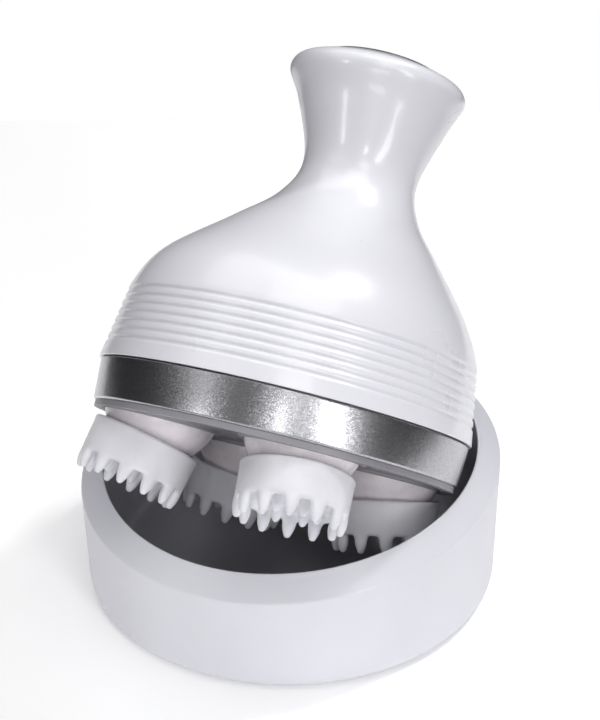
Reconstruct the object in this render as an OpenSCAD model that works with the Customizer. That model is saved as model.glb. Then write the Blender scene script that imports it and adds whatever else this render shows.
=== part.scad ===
// Electric scalp massager leaning in its charging bowl. Millimetres, +Z up.
// The origin is the centre of the bowl's underside; -Y is the front.
// The bowl stands upright. The handset is drawn about its own axis, with its
// height measured from the lower edge of the trim ring, and then leant over.

/* [Bowl] */
// How far the bowl's rim stands out beyond the silver trim ring's radius
bowl_margin = 7.4; // [6.9:0.1:10]
// Radius lost from the rim down to the foot
bowl_draft = 0.6; // [0:0.1:1.2]
// Rounding of the bowl's lower edge
bowl_edge_r = 3.5; // [2.5:0.1:4.5]
// Wall of the bowl's outer shell
shell_wall = 2.4; // [1.8:0.1:2.8]
// Height of the rim's inner edge over the middle of the bowl
rim_h = 39.7; // [38:0.1:46]
// Width of the rim's bevel
rim_w = 6.5; // [5.5:0.1:6.8]
// Fall of the rim's bevel from its inner to its outer edge
rim_fall = 4.1; // [2:0.1:5]
// Slope of the rim towards the right
rim_rise_right = 3.8; // [0:0.1:6]
// Slope of the rim towards the back
rim_rise_back = 5.7; // [0:0.1:8]
// Wall of the dark inner bowl
liner_wall = 1.4; // [1:0.1:1.6]
// Radius that the inner bowl loses from its rim to its floor
liner_draft = 2.1; // [1.2:0.1:3]
// Rounding between the inner bowl's wall and floor
floor_round = 3; // [1:0.1:5]
// Thickness of the rubber pad under the bowl
pad_t = 0.8; // [0.6:0.1:1.4]
// Distance of the rubber pad's edge from the bowl's side
pad_inset = 12.4; // [12:0.1:28]
// Thickness of the bottom cover
cover_t = 1.4; // [1.2:0.1:2]
// Thickness of the charging coil
coil_t = 1; // [0.6:0.1:1.4]

/* [Handset place] */
// Handset's place across the bowl
seat_x = -4; // [-5:0.1:-3]
// Handset's place from front to back
seat_y = -12.5; // [-14:0.1:-12]
// Gap between the lowest claw and the floor of the bowl
seat_rest_gap = 0.78; // [0.6:0.01:2]
// Lean of the handset towards the back
lean_back = 34.5; // [33:0.1:35]
// Lean of the handset towards the right
lean_right = 17.7; // [16:0.1:19]

/* [Handset shell] */
// Height of the silver trim ring
ring_h = 11.5; // [10:0.1:13]
// Outer radius of the trim ring at its top
ring_r = 51.6; // [51.3:0.1:52]
// Radius lost from the ring's top to its lower edge
ring_draft = 0.8; // [0:0.1:1]
// How far the housing stands proud of the ring
housing_proud = 0.6; // [0.3:0.1:0.8]
// Height where the ribbed skirt ends and the shoulder starts
skirt_top_h = 32.2; // [31.5:0.1:34]
// Radius of the skirt at its top
skirt_top_r = 49; // [48:0.1:50]
// Radius of the shoulder
shoulder_r = 42.9; // [42:0.1:45]
// Radius half way down the slope to the neck
slope_r = 29.5; // [28.5:0.1:31]
// Radius at the foot of the neck
neck_foot_r = 20; // [19.5:0.1:22]
// Radius of the neck at its waist
waist_r = 16.2; // [16:0.1:18]
// Radius of the flare below the lip
flare_r = 21; // [20:0.1:22]
// Radius of the lip round the top
lip_r = 24.9; // [24:0.1:27]
// Height of the lip above the waist
flare_l = 25; // [23:0.5:27]
// Rounding of the lip
lip_round = 3.4; // [2.5:0.1:4]
// How far the neck is set to one side
neck_shift = 4.9; // [3:0.1:5.5]
// Wall of the housing
housing_wall = 2.2; // [1.6:0.1:2.4]
// Number of fine ribs round the skirt
rib_count = 7; // [0:1:7]
// Spacing of the ribs
rib_pitch = 2.39; // [2:0.01:2.4]
// Depth of the groove between two ribs
rib_depth = 0.45; // [0.2:0.05:0.6]

/* [Top] */
// Radius of the grey panel in the top
panel_r = 17.4; // [16:0.1:18]
// Thickness of the panel at its edge
panel_t = 1.5; // [1.2:0.1:2]
// Radius of the power button
button_r = 5.6; // [4:0.1:7]
// How far the button stands above the panel
button_proud = 0.4; // [0.2:0.1:1]
// Travel of the button
button_travel = 0.6; // [0.3:0.1:0.8]

/* [Heads] */
// Turn of the heads about the handset's axis
head_turn = -86.2; // [-90:0.1:-82]
// Outward tilt of each head at rest
head_tilt = 12; // [9:0.1:12]
// Radius of the ball shape of a hub
ball_r = 15.8; // [15.4:0.1:15.8]
// Height of the ball's centre
ball_h = 3; // [2.8:0.1:3.2]
// Running gap between a ball and its socket
ball_gap = 0.2; // [0.1:0.05:0.2]
// Outer radius of a silicone cup
cup_r = 15; // [14.8:0.1:15.4]
// Number of claws round a cup
claw_count = 12; // [8:1:14]
// Number of claws inside a cup
inner_claw_count = 6; // [3:1:7]
// Radius of a claw at its root
claw_root_r = 1.8; // [1.4:0.1:2]
// Radius of a claw's rounded tip
claw_tip_r = 1.15; // [0.7:0.05:1.2]

/* [Drive] */
// Teeth of the central gear
drive_teeth = 40; // [36:4:44]
// Teeth of a head's gear
crank_teeth = 24; // [24:1:26]
// Thickness of the gears
gear_t = 5; // [3:0.5:5]
// Radius of a crank's shaft
crank_shaft_r = 2.45; // [2:0.05:3]
// Radius of a crank's slanted pin
crank_pin_r = 2; // [1.5:0.05:2.5]
// Radius of the motor's output shaft
drive_shaft_r = 2; // [1.5:0.05:2.5]
// Running clearance of a shaft in its hole
shaft_gap = 0.05; // [0.02:0.01:0.1]
// Radius of the motor
motor_r = 12.1; // [10:0.1:12.5]
// Length of the motor behind its gearhead
motor_l = 22; // [18:0.5:24]
// Radius of the cell
battery_r = 8.1; // [7:0.1:8.4]
// Length of the cell
battery_l = 34.5; // [30:0.5:34.5]

/* [Hidden] */
$fn = 96;

white = "#e9e9ee";
dark = "#4a4a4e";
steel = "#a9abb0";
head_count = 4;
screw_count = 4;
loft_n = 56;
// Gap between two fixed pieces that meet
fit_gap = 0.1;
// Gap of a press or slide seat
seat_gap = 0.02;

// ---- Bowl sizes ----
bowl_r = ring_r + bowl_margin;
rim_in_r = bowl_r - rim_w;
floor_r = rim_in_r - liner_draft;
foot_z = pad_t / 2;
foot_r = bowl_r - bowl_draft;
pad_r = foot_r - pad_inset;
cover_top = foot_z + cover_t;
cover_r = foot_r - bowl_edge_r + fit_gap;
flange_t = 1.2;
flange_r = cover_r - 1.6;
flange_z = cover_top + fit_gap;
liner_z = flange_z + flange_t + 0.3;
floor_z = liner_z + liner_wall;
rim_corner = 1.3;
rim_lip_t = 1.2;
socket_w = 9;
socket_h = 3.2;
socket_l = 6;
coil_r = 21;
coil_in_r = 8;
board_w = 20;
board_start = coil_r + 3;
board_end = sqrt(pow(flange_r - 0.5, 2) - pow(board_w / 2, 2));
socket_z = floor_z - 0.2;
port_turn = atan2(tan(rim_rise_back), tan(rim_rise_right));
screw_ring_r = flange_r - 2.9;
screw_r = 1.1;
screw_head_r = 1.9;
screw_head_t = 0.75;
boss_r = 2.4;

// ---- Handset sizes ----
skirt_r = ring_r + housing_proud;
first_rib_h = ring_h + 5.2;
rib_half = 0.5;
wall_r = ring_r - 2.3;
upper_wall_r = wall_r - 2.4;
socket_wall_r = wall_r - 0.9;
chassis_t = 2.2;
chassis_z = -0.6;
flange_drop = 1.6;
floor_top = chassis_z + chassis_t;
plate_z = 8.5;
plate_t = 2;
gear_z = plate_z + plate_t + 2;
cover_z = plate_z + plate_t + gear_t + 4;
post_ring_r = 38;
post_r = 3;
seal_h = ring_h + 1.1;
seal_groove = 0.7;
seal_r = 0.45;
gearhead_l = 11.5;
motor_z = cover_z + plate_t;
motor_top = motor_z + gearhead_l + motor_l;
deck_z = motor_top + 2.4;
deck_t = 2;
board_h = deck_z + deck_t + battery_l + 3.1;
lip_over_board = 7;
lip_h = board_h + lip_over_board;
waist_h = lip_h - flare_l;
lip_start = -18;
lip_end = 68;
lip_in_r = lip_r - lip_round;
top_shift = 0.76 * neck_shift;
dome_edge = [lip_in_r + lip_round * cos(lip_end), lip_h + lip_round * sin(lip_end)];
dome_r = dome_edge[0] / cos(lip_end);
dome_top = dome_edge[1] + dome_r - sqrt(dome_r * dome_r - dome_edge[0] * dome_edge[0]);
panel_gap = 0.2;
panel_post_inset = 6.2;
panel_post_r = 1.6;
button_flange_w = 1.2;
button_flange_t = 1.1;
stem_bite = 0.5;
ledge_w = 1.8;
ledge_t = 1.3;
ledge_h = dome_h(panel_r + panel_gap) - panel_t;

// ---- Head sizes, measured down the head's own axis from the ball's centre ----
head_ring_r = socket_wall_r - ball_r - ball_gap - 0.1;
hub_top = 1;
hub_wall = 1.8;
neck_step = 0.5;
cup_wall = 2.8;
neck_r = cup_r - cup_wall;
ball_cut = sqrt(ball_r * ball_r - pow(neck_r + neck_step, 2));
web_t = 2;
hub_boss_r = 4.6;
hub_boss_top = 4;
hub_boss_l = 3;
hub_boss_end = ball_cut + hub_boss_l;
pin_l = 4.8;
pin_end = ball_cut + pin_l;
clip_t = 0.9;
cup_step = 0.6;
cup_top = ball_cut + cup_step;
neck_l = 6;
neck_end = cup_top + neck_l;
cup_floor = neck_end + fit_gap;
cup_floor_t = 1.7;
skirt_l = 10.2;
skirt_end = cup_top + skirt_l;
claw_l = 14.8;
claw_end = cup_top + claw_l;
claw_ring_r = cup_r - claw_root_r - 0.2;
inner_claw_ring_r = 7;

// Height over the seat of a point of head i, once the handset is leant over
function leant_z(i, p) =
    let (a = head_turn + 360 / head_count * i,
        out = head_ring_r + p[0] * cos(head_tilt) - p[2] * sin(head_tilt),
        up = ball_h + p[0] * sin(head_tilt) + p[2] * cos(head_tilt),
        x = out * cos(a) - p[1] * sin(a),
        y = out * sin(a) + p[1] * cos(a))
    cos(lean_right) * (cos(lean_back) * up - sin(lean_back) * y) - sin(lean_right) * x;
lowest_claw = min([for (i = [0 : head_count - 1], k = [0 : claw_count - 1])
    let (a = 360 / claw_count * k)
    leant_z(i, [claw_ring_r * cos(a), claw_ring_r * sin(a), claw_tip_r - claw_end])]) - claw_tip_r;
seat_z = floor_z + seat_rest_gap - lowest_claw;

// ---- Drive sizes ----
gear_module = 2 * head_ring_r / (drive_teeth + crank_teeth);
drive_pitch_r = gear_module * drive_teeth / 2;
crank_pitch_r = gear_module * crank_teeth / 2;
pressure_angle = 20;
backlash = 0.12;
gear_hub_r = 5;
web_hole_ring_r = 12;
web_hole_r = 3.6;
bush_r = 4;
bush_flange_r = 5;
bush_flange_t = 0.8;
knuckle_r = 3.2;
motor_boss_r = 4;
shaft_depth = 5;
leg_ring_r = 17.4;
leg_r = 2;
deck_r = 19.5;
cell_gap = 0.2;
receive_coil_r = 14;
receive_turns_w = 8;
motor_screw_x = 8.5;
cell_wall = 1.5;
cell_x = 0.94 * neck_shift;
board_r = 14;
board_t = 1.2;
switch_w = 6;
switch_h = 3.5;
stem_r = 1.5;

// ---- Leads inside the handset, which rise round the cell to the board ----
lead_r = 0.5;
lead_hole_r = lead_r + 0.4;
lead_turn = 13.5;
holder_r = battery_r + cell_gap + cell_wall;
riser_ring_r = (holder_r + waist_r - housing_wall) / 2;
terminal_x = 6;
terminal_w = 3;
terminal_t = 0.8;
terminal_lead_h = (motor_top + deck_z) / 2;
cell_lead_h = deck_z + deck_t + 2;
coil_lead_turn = head_turn + 225;
coil_lead_ring_r = post_ring_r - post_r - 1.7;
coil_lead_side = 1;

// ---- Shapes ----

// Height of the domed top at a distance from its axis
function dome_h(r) = dome_top - dome_r + sqrt(dome_r * dome_r - r * r);

// Point on a smooth curve through four stations, between the second and third
function curve(a, b, c, d, t) =
    0.5 * (2 * b + (c - a) * t + (2 * a - 5 * b + 4 * c - d) * t * t
        + (3 * b - a - 3 * c + d) * t * t * t);
function curve_dir(a, b, c, d, t) =
    0.5 * ((c - a) + 2 * (2 * a - 5 * b + 4 * c - d) * t
        + 3 * (3 * b - a - 3 * c + d) * t * t);

// A ring is [radius, height, shift along X, share of the rim's slant]
function ring_points(q, n) = [for (j = [0 : n - 1])
    let (a = 360 * j / n, x = q[0] * cos(a), y = q[0] * sin(a))
    [x + q[2], y, q[1] + q[3] * (x * tan(rim_rise_right) + y * tan(rim_rise_back))]];
function ring_faces(a, b, n) = [for (j = [0 : n - 1], half = [0, 1])
    let (k = (j + 1) % n)
    half == 0 ? [a * n + j, b * n + j, b * n + k] : [a * n + j, b * n + k, a * n + k]];

// Skin over rings that run round a wall and back to the first ring
module ring_wall(rings, n = loft_n) {
    count = len(rings);
    polyhedron(
        points = [for (q = rings) each ring_points(q, n)],
        faces = [for (i = [0 : count - 1]) each ring_faces(i, (i + 1) % count, n)]);
}

// Skin over rings with a flat face over the first and the last ring
module ring_dish(rings, n = loft_n) {
    count = len(rings);
    polyhedron(
        points = [for (q = rings) each ring_points(q, n)],
        faces = concat(
            [for (i = [0 : count - 2]) each ring_faces(i, i + 1, n)],
            [[for (j = [0 : n - 1]) j]],
            [[for (j = [n - 1 : -1 : 0]) (count - 1) * n + j]]));
}

module tube(outer, inner, h) {
    difference() {
        cylinder(r = outer, h = h);
        translate([0, 0, -1]) cylinder(r = inner, h = h + 2);
    }
}

// Wire through a list of points, with its bends a little thicker than its runs
module wire(points, r) {
    for (i = [0 : len(points) - 2])
        let (d = points[i + 1] - points[i])
        translate(points[i]) rotate([0, acos(d[2] / norm(d)), atan2(d[1], d[0])])
            cylinder(r = r, h = norm(d), $fn = 24);
    for (i = [1 : len(points) - 2]) translate(points[i]) sphere(r = 1.1 * r, $fn = 24);
}

module in_handset() {
    translate([seat_x, seat_y, seat_z]) rotate([-lean_back, lean_right, 0]) children();
}

// Frame of head i, at the ball's centre with X outwards
module at_head(i) {
    rotate(head_turn + 360 / head_count * i) translate([head_ring_r, 0, ball_h]) children();
}

// The same frame tilted outwards as the head is
module in_head(i) {
    at_head(i) rotate([0, -head_tilt, 0]) children();
}

module at_posts() {
    for (i = [0 : screw_count - 1])
        rotate(head_turn + 360 / screw_count * (i + 0.5)) translate([post_ring_r, 0, 0]) children();
}

// ---- Bowl ----

edge_centre = [foot_r - bowl_edge_r, foot_z + bowl_edge_r];
rim_out_h = rim_h - rim_fall;
shell_rings = concat(
    [[cover_r + fit_gap, foot_z, 0, 0]],
    [for (a = [-70 : 17.5 : 0])
        [edge_centre[0] + bowl_edge_r * cos(a), edge_centre[1] + bowl_edge_r * sin(a), 0, 0]],
    [[bowl_r, rim_out_h - rim_corner, 0, 1],
     [bowl_r - 0.15 * rim_corner, rim_out_h - 0.45 * rim_corner, 0, 1],
     [bowl_r - 0.6 * rim_corner, rim_out_h + 0.15 * rim_corner, 0, 1],
     [bowl_r - 1.3 * rim_corner, rim_out_h + 0.75 * rim_corner, 0, 1],
     [(bowl_r + rim_in_r) / 2, rim_h - 0.44 * rim_fall, 0, 1],
     [rim_in_r + 0.7, rim_h - 0.15, 0, 1],
     [rim_in_r + 0.2, rim_h - 0.1, 0, 1],
     [rim_in_r, rim_h - 0.4, 0, 1],
     [rim_in_r, rim_h - rim_lip_t, 0, 1],
     [bowl_r - shell_wall, rim_out_h - shell_wall, 0, 1],
     [foot_r - shell_wall, flange_z + flange_t, 0, 0],
     [flange_r, flange_z + flange_t, 0, 0],
     [flange_r, flange_z, 0, 0],
     [cover_r + fit_gap, flange_z, 0, 0]]);

module base_shell() {
    color(white) difference() {
        ring_wall(shell_rings);
        rotate(port_turn)
            translate([foot_r - shell_wall - 2, -socket_w / 2 - 0.2, socket_z - 0.2])
            cube([shell_wall + 4, socket_w + 0.4, socket_h + 0.4]);
    }
}

// Fall of the rim's underside for each millimetre outwards
under_fall = (rim_h - rim_lip_t - rim_out_h + shell_wall) / (bowl_r - shell_wall - rim_in_r);
liner_top_r = rim_in_r + 0.1;
liner_top = rim_h - rim_lip_t - fit_gap * (1 + under_fall);
round_centre = [floor_r - floor_round, floor_z + floor_round];
liner_rings = concat(
    [for (a = [-90 : 22.5 : 0])
        [round_centre[0] + floor_round * cos(a), round_centre[1] + floor_round * sin(a), 0, 0]],
    [[liner_top_r, liner_top - 0.1 * under_fall, 0, 1],
     [liner_top_r + liner_wall, liner_top - (0.1 + liner_wall) * under_fall, 0, 1]],
    [for (a = [0 : -22.5 : -90])
        [round_centre[0] + (floor_round + liner_wall) * cos(a),
         round_centre[1] + (floor_round + liner_wall) * sin(a), 0, 0]]);

module at_base_screws() {
    for (i = [0 : screw_count - 1])
        rotate(port_turn + 360 / screw_count * (i + 0.5)) translate([screw_ring_r, 0, 0]) children();
}

module base_liner() {
    color(dark) difference() {
        union() {
            ring_dish([for (i = [len(liner_rings) - 1 : -1 : 0]) liner_rings[i]]);
            intersection() {
                at_base_screws() translate([0, 0, cover_top])
                    cylinder(r = boss_r, h = liner_z - cover_top + 0.6, $fn = 32);
                cylinder(r = flange_r - 0.2, h = floor_z);
            }
        }
        at_base_screws() translate([0, 0, cover_top - 1])
            cylinder(r = screw_r + seat_gap, h = floor_z - 0.5 - cover_top + 1, $fn = 32);
    }
}

module base_cover() {
    color(white) difference() {
        translate([0, 0, foot_z]) cylinder(r = cover_r, h = cover_t);
        translate([0, 0, foot_z - 1]) cylinder(r = pad_r + fit_gap, h = 1 + pad_t - foot_z);
        at_base_screws() {
            translate([0, 0, foot_z - 1]) cylinder(r = screw_r + fit_gap, h = cover_t + 2, $fn = 32);
            translate([0, 0, foot_z - 1])
                cylinder(r = screw_head_r + fit_gap, h = 1 + screw_head_t, $fn = 32);
        }
    }
}

module base_pad() {
    color(dark) cylinder(r = pad_r, h = pad_t);
}

module base_screws() {
    color(steel) at_base_screws() translate([0, 0, foot_z]) difference() {
        union() {
            cylinder(r = screw_head_r, h = screw_head_t, $fn = 32);
            cylinder(r = screw_r, h = floor_z - foot_z - 0.6, $fn = 32);
        }
        translate([-1.3, -0.3, -1]) cube([2.6, 0.6, 1.4]);
        translate([-0.3, -1.3, -1]) cube([0.6, 2.6, 1.4]);
    }
}

module charge_coil() {
    color("#b87333") translate([0, 0, cover_top]) tube(coil_r, coil_in_r, coil_t);
}

module charge_board() {
    color("#1f6b3a") rotate(port_turn) translate([board_start, -board_w / 2, cover_top])
        cube([board_end - board_start, board_w, coil_t]);
}

module charge_leads() {
    color("#b02a2a") rotate(port_turn) for (s = [-1, 1])
        wire([[coil_r + seat_gap, s * board_w / 6, cover_top + coil_t / 2],
            [board_start - seat_gap, s * board_w / 6, cover_top + coil_t / 2]], 0.4 * coil_t);
}

module power_socket() {
    color(steel) rotate(port_turn)
        translate([foot_r - 0.2 - socket_l, -socket_w / 2, socket_z]) difference() {
        cube([socket_l, socket_w, socket_h]);
        translate([1, 0.5, 0.5]) cube([socket_l, socket_w - 1, socket_h - 1]);
    }
}

// ---- Handset shell ----

// Stations up the body: [height, radius, sideways shift]
lip_start_r = lip_in_r + lip_round * cos(lip_start);
lip_start_h = lip_h + lip_round * sin(lip_start);
skirt_slope = (skirt_top_r - skirt_r) / (skirt_top_h - ring_h);
body_stations = [
    [skirt_top_h - 12, skirt_top_r - 12 * skirt_slope, 0],
    [skirt_top_h, skirt_top_r, 0],
    [skirt_top_h + 12, shoulder_r, 0],
    [waist_h - 21, slope_r, 0.53 * neck_shift],
    [waist_h - 11, neck_foot_r, 0.86 * neck_shift],
    [waist_h, waist_r, neck_shift],
    [waist_h + 16, flare_r, 0.9 * neck_shift],
    [lip_start_h, lip_start_r, top_shift],
    [lip_start_h + 8 * cos(lip_start), lip_start_r - 8 * sin(lip_start), top_shift]];
body_steps = [4, 4, 3, 3, 4, 3];

function skirt_at(h) = skirt_r + (h - ring_h) * skirt_slope;
function outer_ring(i, t) = let (p = curve(body_stations[i], body_stations[i + 1],
    body_stations[i + 2], body_stations[i + 3], t)) [p[1], p[0], p[2], 0];
function inner_ring(i, t) =
    let (s = body_stations,
        p = curve(s[i], s[i + 1], s[i + 2], s[i + 3], t),
        d = curve_dir(s[i], s[i + 1], s[i + 2], s[i + 3], t),
        n = norm([d[0], d[1]]))
    [p[1] - housing_wall * d[0] / n, p[0] + housing_wall * d[1] / n, p[2], 0];

skirt_rings = concat(
    [[skirt_r - 0.5, ring_h, 0, 0], [skirt_at(ring_h + 0.5), ring_h + 0.5, 0, 0]],
    rib_count == 0 ? [] : [for (i = [0 : rib_count - 1])
        let (h = first_rib_h + i * rib_pitch)
        each [[skirt_at(h - rib_half), h - rib_half, 0, 0],
            [skirt_at(h) - rib_depth, h, 0, 0],
            [skirt_at(h + rib_half), h + rib_half, 0, 0]]]);
body_rings = [for (i = [0 : len(body_steps) - 1], k = [0 : body_steps[i] - 1])
    outer_ring(i, k / body_steps[i])];
top_rings = concat(
    [for (a = [lip_start : (lip_end - lip_start) / 5 : lip_end + 0.1])
        [lip_in_r + lip_round * cos(a), lip_h + lip_round * sin(a), top_shift, 0]],
    [[panel_r + panel_gap, dome_h(panel_r + panel_gap), top_shift, 0],
     [panel_r + panel_gap, ledge_h - fit_gap, top_shift, 0],
     [panel_r - ledge_w, ledge_h - fit_gap, top_shift, 0],
     [panel_r - ledge_w, ledge_h - ledge_t, top_shift, 0],
     [lip_in_r - 1, lip_h + 0.6, top_shift, 0]]);
inner_rings = [for (i = [len(body_steps) - 1 : -1 : 0], t = [1, 0.5]) inner_ring(i, t)];

module housing() {
    color(white) in_handset() ring_wall(concat(
        [for (q = skirt_rings) if (q[1] < skirt_top_h - 0.3) q],
        body_rings,
        top_rings,
        inner_rings,
        [[skirt_top_r - housing_wall - 0.2, skirt_top_h, 0, 0],
         [skirt_r - housing_wall - 0.2, seal_h + 1.5, 0, 0],
         [skirt_r - housing_wall - 0.2, ring_h, 0, 0]]));
}

module trim_ring() {
    foot = ring_r - ring_draft;
    color("#9b9ba0") in_handset() rotate_extrude() polygon([
        [wall_r + fit_gap, 0], [foot - 0.8, 0], [foot, 0.8], [ring_r, ring_h],
        [wall_r + fit_gap, ring_h]]);
}

module chassis() {
    flange_out = ring_r - ring_draft - 0.6;
    color("#8c8c92") in_handset() difference() {
        union() {
            rotate_extrude() polygon([
                [0, chassis_z], [upper_wall_r - 0.4, chassis_z], [upper_wall_r, -flange_drop],
                [flange_out, -flange_drop], [flange_out, 0], [wall_r, 0],
                [wall_r, seal_h - seal_r - 0.05], [wall_r - seal_groove, seal_h - seal_r - 0.05],
                [wall_r - seal_groove, seal_h + seal_r + 0.05], [wall_r, seal_h + seal_r + 0.05],
                [wall_r, seal_h + 1.2], [upper_wall_r, seal_h + 1.2],
                [upper_wall_r, plate_z - fit_gap], [socket_wall_r, plate_z - fit_gap],
                [socket_wall_r, floor_top], [0, floor_top]]);
            at_posts() translate([0, 0, floor_top - 0.5])
                cylinder(r = post_r, h = plate_z - floor_top + 0.5, $fn = 32);
        }
        for (i = [0 : head_count - 1]) at_head(i) sphere(r = ball_r + ball_gap);
        at_posts() translate([0, 0, floor_top + 0.5])
            cylinder(r = screw_r + seat_gap, h = plate_z, $fn = 32);
    }
}

module joint_seal() {
    color("#2b2b2e") in_handset() rotate_extrude()
        translate([wall_r - seal_groove + seal_r + seat_gap, seal_h]) circle(r = seal_r, $fn = 24);
}

module top_panel() {
    color(dark) in_handset() translate([top_shift, 0, 0]) difference() {
        union() {
            intersection() {
                translate([0, 0, ledge_h]) cylinder(r = panel_r, h = dome_top - ledge_h + 1);
                translate([0, 0, dome_top - dome_r]) sphere(r = dome_r, $fn = 200);
            }
            for (a = [60, 180, 300]) rotate(a) translate([panel_r - panel_post_inset, 0, board_h + board_t])
                cylinder(r = panel_post_r, h = ledge_h - board_h - board_t + 0.5, $fn = 32);
        }
        translate([0, 0, ledge_h - 1]) cylinder(r = button_r + fit_gap, h = dome_top);
    }
}

module power_button() {
    color("#c9cace") in_handset() translate([top_shift, 0, 0]) {
        intersection() {
            translate([0, 0, ledge_h - button_flange_t]) cylinder(r = button_r, h = dome_top);
            translate([0, 0, dome_top - dome_r + button_proud]) sphere(r = dome_r, $fn = 200);
        }
        translate([0, 0, ledge_h - button_flange_t])
            cylinder(r = button_r + button_flange_w, h = button_flange_t - fit_gap);
        translate([0, 0, board_h + board_t + switch_h - stem_bite])
            cylinder(r = stem_r, h = ledge_h - board_h - board_t - switch_h, $fn = 32);
    }
}

// ---- Inside the handset ----

module gearbox_plate() {
    color("#d8d4c8") in_handset() difference() {
        translate([0, 0, plate_z]) cylinder(r = upper_wall_r - 0.2, h = plate_t);
        for (i = [0 : head_count - 1]) at_head(i) cylinder(r = bush_r + seat_gap, h = plate_z + plate_t);
        at_posts() translate([0, 0, plate_z - 1]) cylinder(r = screw_r + fit_gap, h = plate_t + 2, $fn = 32);
        at_coil_leads() cylinder(r = lead_hole_r, h = plate_z + plate_t + 1, $fn = 32);
    }
}

module crank_bushes() {
    color("#b08d57") in_handset() for (i = [0 : head_count - 1])
        at_head(i) translate([0, 0, plate_z - ball_h]) difference() {
        union() {
            cylinder(r = bush_r, h = plate_t + bush_flange_t, $fn = 48);
            translate([0, 0, plate_t]) cylinder(r = bush_flange_r, h = bush_flange_t, $fn = 48);
        }
        translate([0, 0, -1]) cylinder(r = crank_shaft_r + shaft_gap, h = plate_t + 3, $fn = 48);
    }
}

module gearbox_cover() {
    color("#d8d4c8") in_handset() difference() {
        union() {
            translate([0, 0, cover_z]) cylinder(r = upper_wall_r - 0.9, h = plate_t);
            at_posts() translate([0, 0, plate_z + plate_t])
                cylinder(r = post_r, h = cover_z - plate_z - plate_t + 0.5, $fn = 32);
        }
        for (i = [0 : head_count - 1]) at_head(i)
            cylinder(r = crank_shaft_r + shaft_gap, h = cover_z + plate_t, $fn = 48);
        at_posts() translate([0, 0, plate_z]) cylinder(r = screw_r + fit_gap, h = cover_z, $fn = 32);
        translate([0, 0, cover_z - 1]) cylinder(r = motor_boss_r + fit_gap, h = plate_t + 2);
        for (s = [-1, 1]) translate([s * motor_screw_x, 0, cover_z - 1])
            cylinder(r = screw_r + fit_gap, h = plate_t + 2, $fn = 32);
        at_coil_leads() cylinder(r = lead_hole_r, h = cover_z + plate_t + 1, $fn = 32);
    }
}

module gearbox_screws() {
    color(steel) in_handset() at_posts() {
        translate([0, 0, floor_top + 1]) cylinder(r = screw_r, h = cover_z + plate_t - floor_top, $fn = 32);
        translate([0, 0, cover_z + plate_t]) cylinder(r = screw_head_r, h = 1.6, $fn = 32);
    }
}

module gear_motor() {
    color(steel) in_handset() difference() {
        union() {
            translate([0, 0, motor_z]) cylinder(r = motor_r + 0.3, h = gearhead_l);
            translate([0, 0, motor_z + gearhead_l]) cylinder(r = motor_r, h = motor_l);
            translate([0, 0, cover_z + 0.1]) cylinder(r = motor_boss_r, h = plate_t, $fn = 48);
            for (s = [-1, 1]) translate([s * terminal_x - terminal_t / 2, -terminal_w / 2, motor_top - 0.5])
                cube([terminal_t, terminal_w, 2.5]);
        }
        translate([0, 0, cover_z - 1])
            cylinder(r = drive_shaft_r + shaft_gap, h = plate_t + shaft_depth + 1.2, $fn = 48);
        for (s = [-1, 1]) translate([s * motor_screw_x, 0, motor_z - 1])
            cylinder(r = screw_r + seat_gap, h = 6, $fn = 32);
    }
}

module motor_screws() {
    color(steel) in_handset() for (s = [-1, 1]) translate([s * motor_screw_x, 0, 0]) {
        translate([0, 0, cover_z - 1.2]) cylinder(r = screw_head_r, h = 1.2, $fn = 32);
        translate([0, 0, cover_z - 0.5]) cylinder(r = screw_r, h = plate_t + 4.5, $fn = 32);
    }
}

module inner_frame() {
    color("#3a3a3e") in_handset() {
        for (a = [60, 180, 300]) rotate(a) translate([leg_ring_r, 0, motor_z])
            cylinder(r = leg_r, h = deck_z - motor_z + 0.5, $fn = 32);
        difference() {
            translate([0, 0, deck_z]) cylinder(r = deck_r, h = deck_t);
            for (k = [0 : 3]) translate([riser(k)[0], riser(k)[1], deck_z - 1])
                cylinder(r = lead_hole_r, h = deck_t + 2, $fn = 32);
        }
        difference() {
            translate([cell_x, 0, deck_z + deck_t - 0.5])
                tube(holder_r, holder_r - cell_wall, board_h - deck_z - deck_t + 0.5);
            translate([cell_x - holder_r - 1, riser(-1)[1] - lead_hole_r, cell_lead_h - lead_hole_r])
                cube([holder_r - 3, 2 * lead_hole_r, 2 * lead_hole_r]);
        }
    }
}

module battery() {
    color("#3f6fb5") in_handset() translate([cell_x, 0, deck_z + deck_t]) {
        cylinder(r = battery_r, h = battery_l - 1);
        cylinder(r = 2.8, h = battery_l, $fn = 32);
    }
}

module receive_coil() {
    color("#b87333") in_handset() translate([0, 0, floor_top])
        tube(receive_coil_r, receive_coil_r - receive_turns_w, coil_t);
}

module circuit_board() {
    color("#1f6b3a") in_handset() translate([top_shift, 0, board_h]) cylinder(r = board_r, h = board_t);
}

// Place of a rising lead, counted round the cell from the side away from the neck's lean
function riser(k) = [cell_x - riser_ring_r * cos(lead_turn * k), riser_ring_r * sin(lead_turn * k)];

module motor_leads() {
    color("#b02a2a") in_handset() for (k = [0, 1])
        let (x = riser(k)[0], y = riser(k)[1], h = terminal_lead_h)
        wire(concat(
            k == 0 ? [[-terminal_x - terminal_t / 2, y, h]]
                : [[terminal_x, terminal_w / 2, h], [terminal_x, y, h]],
            [[x, y, h], [x, y, board_h]]), lead_r);
}

module cell_leads() {
    x = riser(-1)[0];
    y = riser(-1)[1];
    side = cell_x - sqrt(battery_r * battery_r - pow(abs(y) - lead_r, 2)) - seat_gap;
    color("#2b2b2e") in_handset() {
        wire([[side, y, cell_lead_h], [x, y, cell_lead_h], [x, y, board_h]], lead_r);
        wire([[cell_x, 0, deck_z + deck_t + battery_l], [cell_x, 0, board_h]], lead_r);
    }
}

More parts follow.
